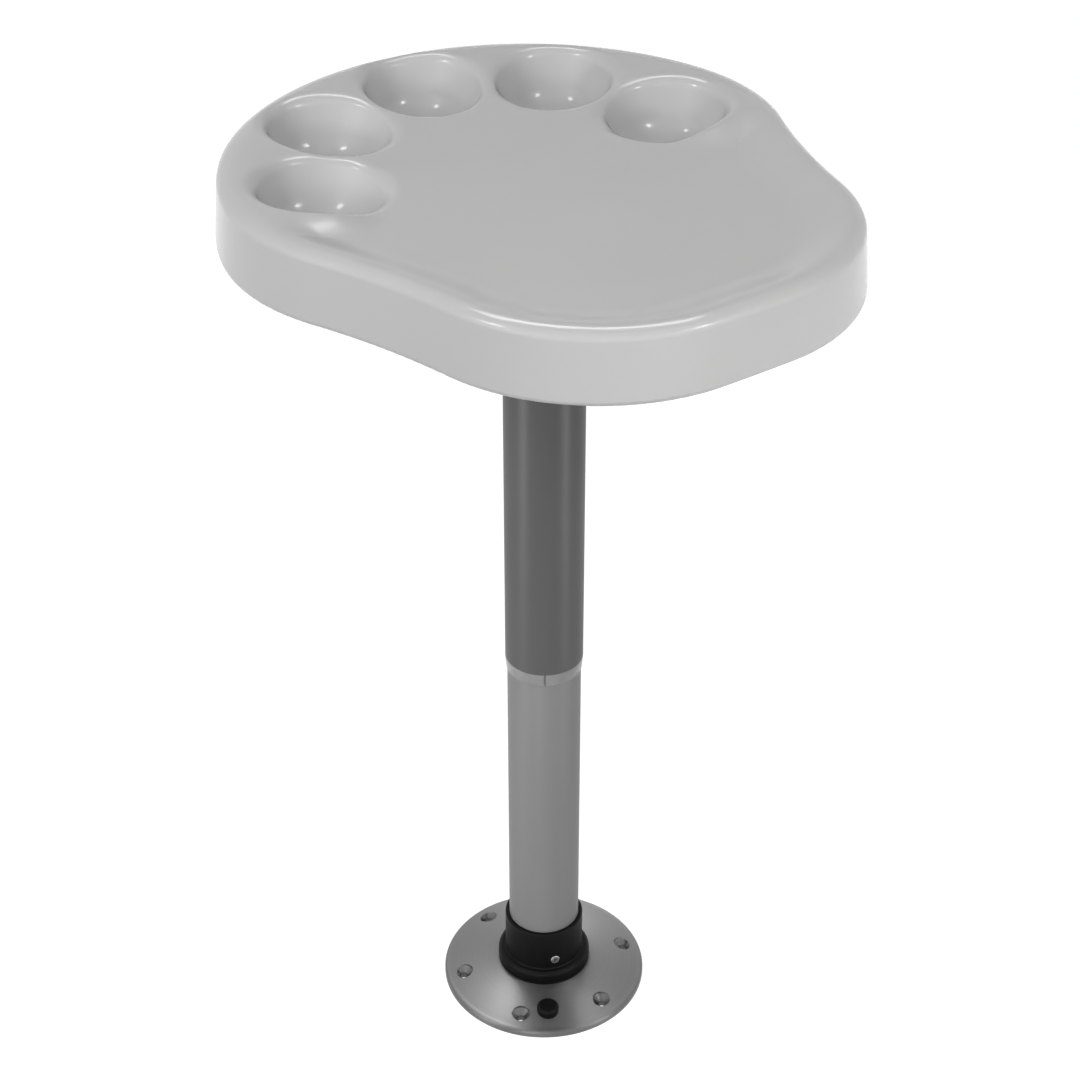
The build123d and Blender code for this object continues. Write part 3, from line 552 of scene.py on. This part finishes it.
floor_mesh = bpy.data.meshes.new("floor")
floor_corners = [(-1, -1), (1, -1), (1, 1), (-1, 1)]
floor_points = [(FLOOR_HALF * x, FLOOR_HALF * y, FLOOR_LEVEL) for x, y in floor_corners]
floor_mesh.from_pydata(floor_points, [], [(0, 1, 2, 3)])
floor = bpy.data.objects.new("floor", floor_mesh)
floor.data.materials.append(floor_material())
bpy.context.scene.collection.objects.link(floor)

# Lamps and camera, in metres, degrees and watts
CAMERA_PLACE = Vector((-0.90063, -1.281013, 1.513653))
CAMERA_PITCH = 56.049
CAMERA_YAW = -34.985
CAMERA_LENS = 79.918
CAMERA_SENSOR = 36.0
TOP_AIM = Vector((0, 0, 0.77))
POLE_AIM = Vector((0, 0, 0.4))
FOOT_AIM = Vector((0, 0, 0))
LOWER_NODES = ("lower_tube", "pole_collar", "collar_set_screw", "release_button", "floor_plate")
SLEEVE = [nodes["upper_sleeve"], nodes["sleeve_bush"]]
TUBE_AND_BASE = [nodes[name] for name in LOWER_NODES]


def round_table(left, up, away):
    """A place so far left of the camera, above level and away from the middle of the top."""
    side = radians(CAMERA_YAW - left)
    level = away * cos(radians(up))
    return TOP_AIM + Vector((level * sin(side), -level * cos(side), away * sin(radians(up))))


def softbox(name, left, up, away, aim, size, power):
    """A soft area lamp round the table, turned to a point."""
    lamp = bpy.data.lights.new(name, "AREA")
    lamp.shape = "RECTANGLE"
    lamp.size, lamp.size_y = size
    lamp.energy = power
    holder = bpy.data.objects.new(name, lamp)
    holder.location = round_table(left, up, away)
    holder.rotation_euler = (aim - holder.location).to_track_quat("-Z", "Y").to_euler()
    bpy.context.scene.collection.objects.link(holder)
    return holder


def flag(lamp, pieces):
    """Keep a lamp to some pieces, as a flag on a stand does."""
    lit = bpy.data.collections.new(lamp.name + "_lit")
    for piece in pieces:
        lit.objects.link(piece)
    lamp.light_linking.receiver_collection = lit


key_left = softbox("key_left", left=50, up=28, away=2.2, aim=TOP_AIM, size=(1.4, 1.4), power=40)
key_right = softbox("key_right", left=-48, up=25, away=2.2, aim=TOP_AIM, size=(1.4, 1.4), power=16)
low_fill = softbox("low_fill", left=-38, up=-12, away=1.6, aim=POLE_AIM, size=(1.0, 0.6), power=10)
flag(low_fill, [top])
for lamp in (key_left, key_right, low_fill):
    lamp.visible_glossy = False
softbox("spark_left", left=65, up=50, away=2.0, aim=TOP_AIM, size=(0.3, 0.3), power=4)
softbox("spark_right", left=-60, up=38, away=2.0, aim=TOP_AIM, size=(0.3, 0.3), power=4)
sheen = softbox("sheen", left=180, up=68, away=2.2, aim=TOP_AIM, size=(1.6, 0.4), power=15)
sheen.visible_diffuse = False
for name, left in (("pole_left", 58), ("pole_right", -58)):
    pole_side = softbox(name, left, up=-28, away=1.1, aim=POLE_AIM, size=(0.3, 0.6), power=2.5)
    flag(pole_side, SLEEVE + TUBE_AND_BASE)
base_front = softbox("base_front", left=12, up=-25, away=1.12, aim=POLE_AIM, size=(0.3, 0.3), power=2)
flag(base_front, TUBE_AND_BASE)
plate_back = softbox("plate_back", left=170, up=46, away=1.58, aim=FOOT_AIM, size=(0.6, 0.4), power=20)
flag(plate_back, [nodes["floor_plate"]])

camera = bpy.data.objects.new("camera", bpy.data.cameras.new("camera"))
camera.location = CAMERA_PLACE
camera.rotation_euler = (radians(CAMERA_PITCH), 0, radians(CAMERA_YAW))
camera.data.lens = CAMERA_LENS
camera.data.sensor_width = CAMERA_SENSOR
bpy.context.scene.collection.objects.link(camera)
bpy.context.scene.camera = camera
bpy.context.scene.view_settings.view_transform = "Standard"
